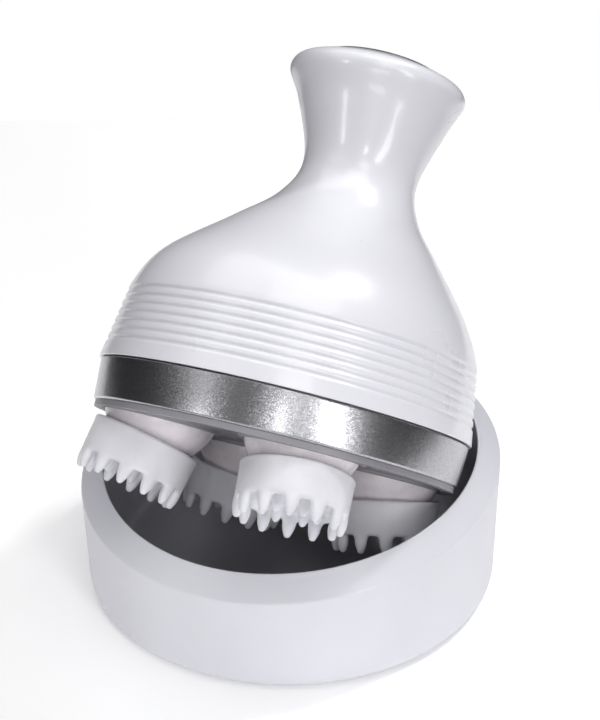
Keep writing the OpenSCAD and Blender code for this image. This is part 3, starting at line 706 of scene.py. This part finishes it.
def add_claw(bm, place, sections, points=18):
    """A tapering claw: stacked ellipses (depth, across, along, lean) closed by a round tip."""
    ring = None
    for depth, across, along, lean in sections:
        made = bmesh.ops.create_circle(bm, segments=points, radius=MM)["verts"]
        shape = Matrix.Translation((lean * MM, 0, -depth * MM))
        shape = shape @ Matrix.Diagonal((along, across, 1, 1))
        bmesh.ops.transform(bm, matrix=place @ shape, verts=made)
        near = {edge for vert in made for edge in vert.link_edges}
        edges = [edge for edge in near if all(vert in made for vert in edge.verts)]
        if ring is None:
            bmesh.ops.contextual_create(bm, geom=edges)
        else:
            bmesh.ops.bridge_loops(bm, edges=ring + edges)
        ring = edges
    bmesh.ops.contextual_create(bm, geom=ring)


def claw_cup_mesh():
    """One silicone cup in the head's frame, blended into a single soft skin."""
    profile = [(0.0, -16.1), (12.22, -16.1), (12.22, -11.0), (13.5, -10.9), (13.75, -10.3)]
    profile += arc((14.45, -10.65), 0.62, 160, -20, 8)
    profile += [(14.88, -11.6), (14.85, -13.5), (14.75, -17.4), (14.7, -19.0), (14.4, -19.6)]
    profile += [(13.8, -19.8), (13.1, -19.7), (12.7, -19.2), (12.5, -18.2), (12.2, -17.8)]
    bm = spun(profile + [(0.0, -17.8)], 96)
    bmesh.ops.recalc_face_normals(bm, faces=bm.faces)
    tip = settings().claw_tip / MM
    tips = [
        (CLAW_END - tip + tip * math.sin(a), tip * math.cos(a)) for a in (0, 0.5, 0.9, 1.25, 1.48)
    ]
    outer = [(18.2, 2.8, 1.0, 0.3), (19.4, 2.7, 1.15, 0.25), (20.0, 2.15, 1.3, 0.15)]
    outer += [(20.7, 1.9, 1.4, 0.05), (21.8, 1.75, 1.42, 0), (22.9, 1.5, 1.3, -0.05)]
    outer += [(d, r, r, -0.1) for d, r in tips]
    inner = [(17.0, 2.4, 2.4, 0), (18.0, 1.9, 1.9, 0), (19.2, 1.6, 1.6, 0), (21.4, 1.3, 1.3, 0)]
    inner += [
        (d - INNER_CLAW_LESS, r * INNER_CLAW_THIN, r * INNER_CLAW_THIN, 0) for d, r in tips
    ]
    for number in range(settings().claws):
        turn = Matrix.Rotation(math.tau * (number + 0.5) / settings().claws, 4, "Z")
        add_claw(bm, turn @ Matrix.Translation((CLAW_RING * MM, 0, 0)), outer)
    for number in range(settings().inner_claws):
        angle = math.tau * number / settings().inner_claws + INNER_CLAW_TURN
        turn = Matrix.Rotation(angle, 4, "Z")
        add_claw(bm, turn @ Matrix.Translation((INNER_CLAW_RING * MM, 0, 0)), inner)
    form = add_object("cup_form", as_mesh(bm, "cup_form"))
    skin = form.modifiers.new("one_skin", "REMESH")
    skin.mode = "VOXEL"
    skin.voxel_size = SKIN_VOXEL * MM
    skin.use_smooth_shade = True
    soft = form.modifiers.new("soft_edges", "SMOOTH")
    soft.factor = 0.5
    soft.iterations = 4
    blended = applied(form)
    bpy.data.objects.remove(form)
    return blended


class MASSAGER_OT_claw_cups(bpy.types.Operator):
    """Silicone cups with a ring of claws, and a second ring inside it"""

    bl_idname = "massager.claw_cups"
    bl_label = "Claw cups"

    def execute(self, context):
        rubber = silicone()
        form = claw_cup_mesh()
        for number in HEADS:
            bm = bmesh.new()
            bm.from_mesh(form)
            if number == 4:
                # The small moulding nub that the left cup shows on its lip.
                nub = bmesh.ops.create_icosphere(bm, subdivisions=3, radius=0.75 * MM)["verts"]
                bmesh.ops.translate(bm, vec=(12.9 * MM, 1.2 * MM, -10.6 * MM), verts=nub)
            name, body, place = f"claw_cup_skin_{number}", f"head_{number}", in_head(number)
            made = finish_mesh(bm, name, rubber, body, place, 80)
            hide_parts(f"claw_cup_{number}")
        return {"FINISHED"}


PANEL_RADIUS = 17.4
PANEL_FOOT = 107.85
BUTTON_RADIUS = 5.6


class MASSAGER_OT_top(bpy.types.Operator):
    """Domed grey panel in the lip, with the power button"""

    bl_idname = "massager.top"
    bl_label = "Top panel and button"

    def execute(self, context):
        place = IN_HANDSET @ Matrix.Translation((TOP_SHIFT * MM, 0, 0))
        # The panel stands 0.35 mm proud of the lip's dome, with a rounded outer edge.
        hole = BUTTON_RADIUS + 0.15
        edge = dome_height(PANEL_RADIUS)
        profile = [(hole, PANEL_FOOT), (hole, dome_height(5.7) + 0.15)]
        profile += [(5.95, dome_height(6) + 0.33)]
        profile += [(r, dome_height(r) + 0.35) for r in (7.0, 9.5, 12.0, 14.5, 16.4)]
        profile += [(16.9, edge + 0.36), (17.25, edge + 0.22), (PANEL_RADIUS, edge - 0.05)]
        bm = spun(profile + [(PANEL_RADIUS, PANEL_FOOT)], settings().steps, closed=True)
        panel = finish_mesh(
            bm, "top_panel_disc", panel_abs(), "handset", place, 35
        )
        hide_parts("top_panel")
        # The button: a slightly dished top, and a flange under the panel.
        top = DOME_TOP + 0.4
        profile = [(0.0, top - 0.28), (1.6, top - 0.24), (3.4, top - 0.1), (4.6, top - 0.02)]
        profile += [(5.2, top - 0.08), (5.52, top - 0.4), (BUTTON_RADIUS, top - 0.8)]
        profile += [(BUTTON_RADIUS, 107.5), (6.75, 107.4), (6.75, 106.45), (0.0, 106.45)]
        bm = spun(profile, 96)
        stem = bmesh.ops.create_cone(
            bm, cap_ends=True, segments=32, radius1=1.5 * MM, radius2=1.5 * MM, depth=5 * MM
        )["verts"]
        bmesh.ops.translate(bm, vec=(0, 0, 104.2 * MM), verts=stem)
        smoke = moulded_plastic("moulded_smoke_grey_abs", "#6c6c72", "#64646a", 0.3)
        button = finish_mesh(bm, "power_button_cap", smoke, "button", place, 35)
        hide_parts("power_button")
        return {"FINISHED"}


# How much the bowl's rim rises over a distance to the right and to the back.
SLANT = Vector((math.tan(math.radians(3.8)), math.tan(math.radians(5.7)), 0))
# The socket sits where the rim is highest.
PORT_TURN = math.atan2(SLANT.y, SLANT.x)
PORT_HEIGHT = 6.2


def slant(bm, low, high):
    """Raises the mesh to the right and back: not at all at one height, fully at the other."""
    for vert in bm.verts:
        share = min(1, max(0, (vert.co.z / MM - low) / (high - low)))
        vert.co.z += share * (SLANT.x * vert.co.x + SLANT.y * vert.co.y)


def port_block(radius, depth, width, height):
    """A block at the socket for the lead, with its centre that far from the bowl's axis."""
    bm = bmesh.new()
    bmesh.ops.create_cube(bm, size=1)
    place = (
        Matrix.Rotation(PORT_TURN, 4, "Z")
        @ Matrix.Translation((radius * MM, 0, PORT_HEIGHT * MM))
        @ Matrix.Diagonal((depth * MM, width * MM, height * MM, 1))
    )
    bmesh.ops.transform(bm, matrix=place, verts=bm.verts)
    return bm


class MASSAGER_OT_bowl_shell(bpy.types.Operator):
    """White outer shell of the bowl with its slanted, bevelled rim"""

    bl_idname = "massager.bowl_shell"
    bl_label = "Bowl shell"

    def execute(self, context):
        # Foot, wall, the rim's bevel, its inner edge, and the inner side.
        outline = [(55.0, 0.42)] + arc((54.9, 3.9), 3.5, -80, 0, 12)
        outline += [(58.4 + 0.6 * k / 8, 3.9 + 30.2 * k / 8) for k in range(1, 9)]
        outline += arc((58.2, 34.75), 0.8, 0, 54, 5)
        outline += [(57.2, 36.45), (55.8, 37.6), (54.4, 38.65), (53.4, 39.3)]
        outline += arc((52.95, 39.25), 0.45, 70, 180, 6) + [(52.5, 38.5)]
        outline += [(56.6, 33.1), (56.0, 3.15), (53.5, 3.05), (53.5, 1.95), (54.95, 1.9)]
        bm = spun(outline, settings().steps, closed=True)
        slant(bm, 3.9, 34.1)
        made = finish_mesh(bm, "bowl_shell", bowl_abs_painted_shade(), "base", None, 40)
        tool = add_object("port_cut", as_mesh(port_block(58, 8, 9.4, 3.6), "port_cut"))
        hole = made.modifiers.new("port", "BOOLEAN")
        hole.object = tool
        hole.operation = "DIFFERENCE"
        opened = applied(made)
        made.modifiers.clear()
        made.data = opened
        bpy.data.objects.remove(tool)
        opened.set_sharp_from_angle(angle=math.radians(40))
        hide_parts("base_shell")
        return {"FINISHED"}


class MASSAGER_OT_bowl_liner(bpy.types.Operator):
    """Dark inner bowl, with a rounded corner between wall and floor"""

    bl_idname = "massager.bowl_liner"
    bl_label = "Bowl liner"

    def execute(self, context):
        outline = [(0.0, 4.8), (20.0, 4.8), (40.0, 4.8)] + arc((47.4, 7.8), 3.0, -90, 0, 8)
        outline += [(50.75, 13.0), (51.4, 22.0), (52.0, 31.0), (52.5, 37.9), (52.6, 38.2)]
        outline += [(53.9, 36.6), (53.2, 30.0), (51.9, 8.0)]
        outline += arc((47.5, 7.8), 4.4, 0, -90, 6) + [(0.0, 3.4)]
        bm = spun(outline, settings().steps)
        slant(bm, 7.8, 37.0)
        made = finish_mesh(bm, "bowl_liner", liner_abs_with_painted_light(), "base", None, 35)
        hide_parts("base_liner")
        return {"FINISHED"}


PAD_GROOVES = 7
PAD_GROOVE_START = 10
PAD_GROOVE_PITCH = 5.2


class MASSAGER_OT_bowl_foot(bpy.types.Operator):
    """Cover, rubber pad, screws and power socket under and behind the bowl"""

    bl_idname = "massager.bowl_foot"
    bl_label = "Bowl foot"

    def execute(self, context):
        give(bowl_abs_painted_shade(), "base_cover")
        give(brushed_metal("zinc_plated_steel", "#b9bbc0", "#9fa1a6", 0.3, 0.3), "base_screws")
        outline = [(0.0, 0.8), (0.0, 0.0)]
        for ring in range(PAD_GROOVES):
            edge = PAD_GROOVE_START + ring * PAD_GROOVE_PITCH
            outline += [(edge, 0.0), (edge + 0.3, 0.3), (edge + 0.9, 0.3), (edge + 1.2, 0.0)]
        outline += [(45.6, 0.0), (45.9, 0.1), (46.0, 0.35), (46.0, 0.8)]
        bm = spun(outline, settings().steps)
        pad = finish_mesh(bm, "foot_pad", black_rubber(), "base", None, 20)
        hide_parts("base_pad")
        give(brushed_metal("nickel_plated_steel", "#c4c5c9", "#adafb4", 0.22, 0.3), "power_socket")
        bm = port_block(55.2, 4.4, 6.2, 0.8)
        bmesh.ops.bevel(
            bm,
            geom=bm.edges[:],
            offset=0.2 * MM,
            segments=2,
            profile=0.5,
            affect="EDGES",
            material=-1,
        )
        finish_mesh(bm, "socket_tongue", black_rubber(), "base", None, 40)
        return {"FINISHED"}


def metal_finishes():
    """Metals inside: name, bright and dull colour, roughness, line spacing, and CAD nodes."""
    cranks = [f"crank_{n}" for n in HEADS]
    clips = [f"pin_clip_{n}" for n in HEADS]
    screws = ["gearbox_screws", "motor_screws"]
    copper = ["charge_coil", "receive_coil", "coil_leads"]
    return (
        ("ground_steel", "#bfc1c5", "#a6a8ad", 0.22, 0.2, ["drive_shaft"] + cranks),
        ("blued_spring_steel", "#6f7480", "#565a66", 0.35, 0.2, clips),
        ("drawn_motor_can", "#b0b2b6", "#96989d", 0.32, 0.4, ["gear_motor"]),
        ("zinc_plated_screws", "#b9bbc0", "#9fa1a6", 0.3, 0.3, screws),
        ("sintered_bronze", "#b0874f", "#8f6b3c", 0.45, 0.3, ["crank_bushes"]),
        ("enamelled_copper_wire", "#c0743c", "#8f4f24", 0.3, 0.35, copper),
    )


def plastic_finishes():
    """Plastics inside: name, light and dark colour, roughness, grain size, and CAD nodes."""
    gears = ["drive_gear"] + [f"crank_gear_{n}" for n in HEADS]
    plates = ["gearbox_plate", "gearbox_cover"]
    red, black = ["motor_leads", "charge_leads"], ["cell_leads"]
    return (
        ("moulded_acetal", "#ece6d6", "#e2dccb", 0.35, 0.5, gears),
        ("red_lead_sleeve", "#b8322c", "#a02a25", 0.4, 0.5, red),
        ("black_lead_sleeve", "#2c2c2f", "#222225", 0.4, 0.5, black),
        ("glass_filled_nylon", "#d6d2c6", "#c8c4b7", 0.5, 0.5, plates),
        ("moulded_black_nylon", "#303034", "#26262a", 0.5, 0.5, ["inner_frame", "switch_body"]),
        ("shrink_sleeve", "#3f6fb5", "#3763a5", 0.25, 1.2, ["battery"]),
    )


class MASSAGER_OT_inside(bpy.types.Operator):
    """Finishes of the drive, the cell, the boards and the rest of the hidden parts"""

    bl_idname = "massager.inside"
    bl_label = "Inside"

    def execute(self, context):
        for *finish, names in metal_finishes():
            give(brushed_metal(*finish), *names)
        for *finish, names in plastic_finishes():
            give(moulded_plastic(*finish), *names)
        give(circuit_mask(), "circuit_board", "charge_board")
        give(black_rubber(), "joint_seal")
        return {"FINISHED"}


LIGHT_DISTANCE = 1.5
LIGHT_AIM = Vector((0, 0, 0.08))
# Each light's turn to the right of the front and its elevation in degrees, its width and
# height in metres, and its power in watts.
LIGHTS = (
    ("overhead_softbox", 75, 80, 1.0, 1.0, 8.3),
    ("back_key", 118, 54, 0.14, 0.14, 7.5),
    ("back_left_softbox", -135, 62, 0.9, 0.9, 4.4),
    ("right_softbox", 30, 15, 0.3, 0.8, 6.4),
    ("front_fill", 15, 50, 0.5, 0.5, 2.6),
    ("left_strip", -52, 16, 0.18, 0.4, 2.2),
    ("front_strip", -1, 27, 0.15, 0.25, 1.8),
    ("low_front_softbox", -8, 3, 0.6, 0.2, 1.8),
    ("high_left_softbox", -70, 45, 0.8, 0.8, 2.3),
)
# The photograph's camera: its angles, and its place from the origin in metres, to its own
# right, down and forward.
CAMERA_ELEVATION = math.radians(29.8)
CAMERA_ROLL = math.radians(-0.64)
CAMERA_OFFSET = Vector((0.0025, -0.0585, -0.5259))
# What the object sees around the floor, and what the camera sees there.
AIR_COLOUR = (0.02, 0.02, 0.022, 1)
BACKDROP_COLOUR = (1, 1, 1, 1)


def area_light(name, turn, elevation, width, height, power):
    """A softbox that faces the object."""
    light = bpy.data.lights.new(name, "AREA")
    light.shape = "RECTANGLE"
    light.size = width
    light.size_y = height
    light.energy = power
    across, up = math.radians(turn), math.radians(elevation)
    flat = math.cos(up)
    ray = Vector((math.sin(across) * flat, -math.cos(across) * flat, math.sin(up)))
    made = add_object(name, light)
    made.location = LIGHT_AIM + LIGHT_DISTANCE * ray
    made.rotation_euler = (-ray).to_track_quat("-Z", "Y").to_euler()


class MASSAGER_OT_stage(bpy.types.Operator):
    """White floor, soft studio lights and the photograph's camera"""

    bl_idname = "massager.stage"
    bl_label = "Stage"

    def execute(self, context):
        bm = bmesh.new()
        bmesh.ops.create_grid(bm, x_segments=4, y_segments=4, size=0.34)
        bmesh.ops.scale(bm, vec=(0.62, 1, 1), verts=bm.verts)
        floor = finish_mesh(bm, "studio_floor", studio_white(), None)

        world = bpy.data.worlds.new("studio_air")
        world.use_nodes = True
        tree = world.node_tree
        tree.nodes.clear()
        rays = add_node(tree, "ShaderNodeLightPath")
        shade = add_node(
            tree,
            "ShaderNodeMix",
            settings={"data_type": "RGBA"},
            values={"A": AIR_COLOUR, "B": BACKDROP_COLOUR},
            links={"Factor": (rays, "Is Camera Ray")},
        )
        sky = add_node(tree, "ShaderNodeBackground", links={"Color": (shade, "Result")})
        add_node(tree, "ShaderNodeOutputWorld", links={"Surface": (sky, "Background")})
        context.scene.world = world

        for light in LIGHTS:
            area_light(*light)

        across, up = math.cos(CAMERA_ELEVATION), math.sin(CAMERA_ELEVATION)
        look = Matrix(((1, 0, 0), (0, -up, -across), (0, across, -up)))
        turned = Matrix.Rotation(CAMERA_ROLL, 3, "Z") @ look
        camera = bpy.data.cameras.new("photo_camera")
        camera.lens = 90
        camera.sensor_width = 36
        camera.clip_start = 0.01
        camera.clip_end = 50
        made = add_object("photo_camera", camera)
        axes = Matrix((turned[0], -turned[1], -turned[2])).transposed()
        place = turned.transposed() @ CAMERA_OFFSET
        made.matrix_world = Matrix.Translation(place) @ axes.to_4x4()
        context.scene.camera = made
        context.scene.view_settings.view_transform = "Standard"
        context.scene.view_settings.look = "None"
        return {"FINISHED"}


class MASSAGER_PT_panel(bpy.types.Panel):
    bl_idname = "MASSAGER_PT_panel"
    bl_label = "Scalp massager"
    bl_space_type = "VIEW_3D"
    bl_region_type = "UI"
    bl_category = "Massager"

    def draw(self, context):
        for group in (context.scene.massager_sizes, context.scene.massager_colours):
            for name in group.__annotations__:
                self.layout.prop(group, name)
        for operator in OPERATORS:
            self.layout.operator(operator.bl_idname)


OPERATORS = (
    MASSAGER_OT_stage,
    MASSAGER_OT_bowl_shell,
    MASSAGER_OT_bowl_liner,
    MASSAGER_OT_bowl_foot,
    MASSAGER_OT_housing,
    MASSAGER_OT_trim_ring,
    MASSAGER_OT_underside,
    MASSAGER_OT_hubs,
    MASSAGER_OT_claw_cups,
    MASSAGER_OT_top,
    MASSAGER_OT_inside,
)
CLASSES = (MassagerSizes, MassagerColours) + OPERATORS + (MASSAGER_PT_panel,)


def register():
    for cls in CLASSES:
        bpy.utils.register_class(cls)
    bpy.types.Scene.massager_sizes = PointerProperty(type=MassagerSizes)
    bpy.types.Scene.massager_colours = PointerProperty(type=MassagerColours)


def unregister():
    del bpy.types.Scene.massager_sizes
    del bpy.types.Scene.massager_colours
    for cls in reversed(CLASSES):
        bpy.utils.unregister_class(cls)


def main():
    register()
    for operator in OPERATORS:
        group, name = operator.bl_idname.split(".")
        getattr(getattr(bpy.ops, group), name)()


if __name__ == "__main__":
    main()
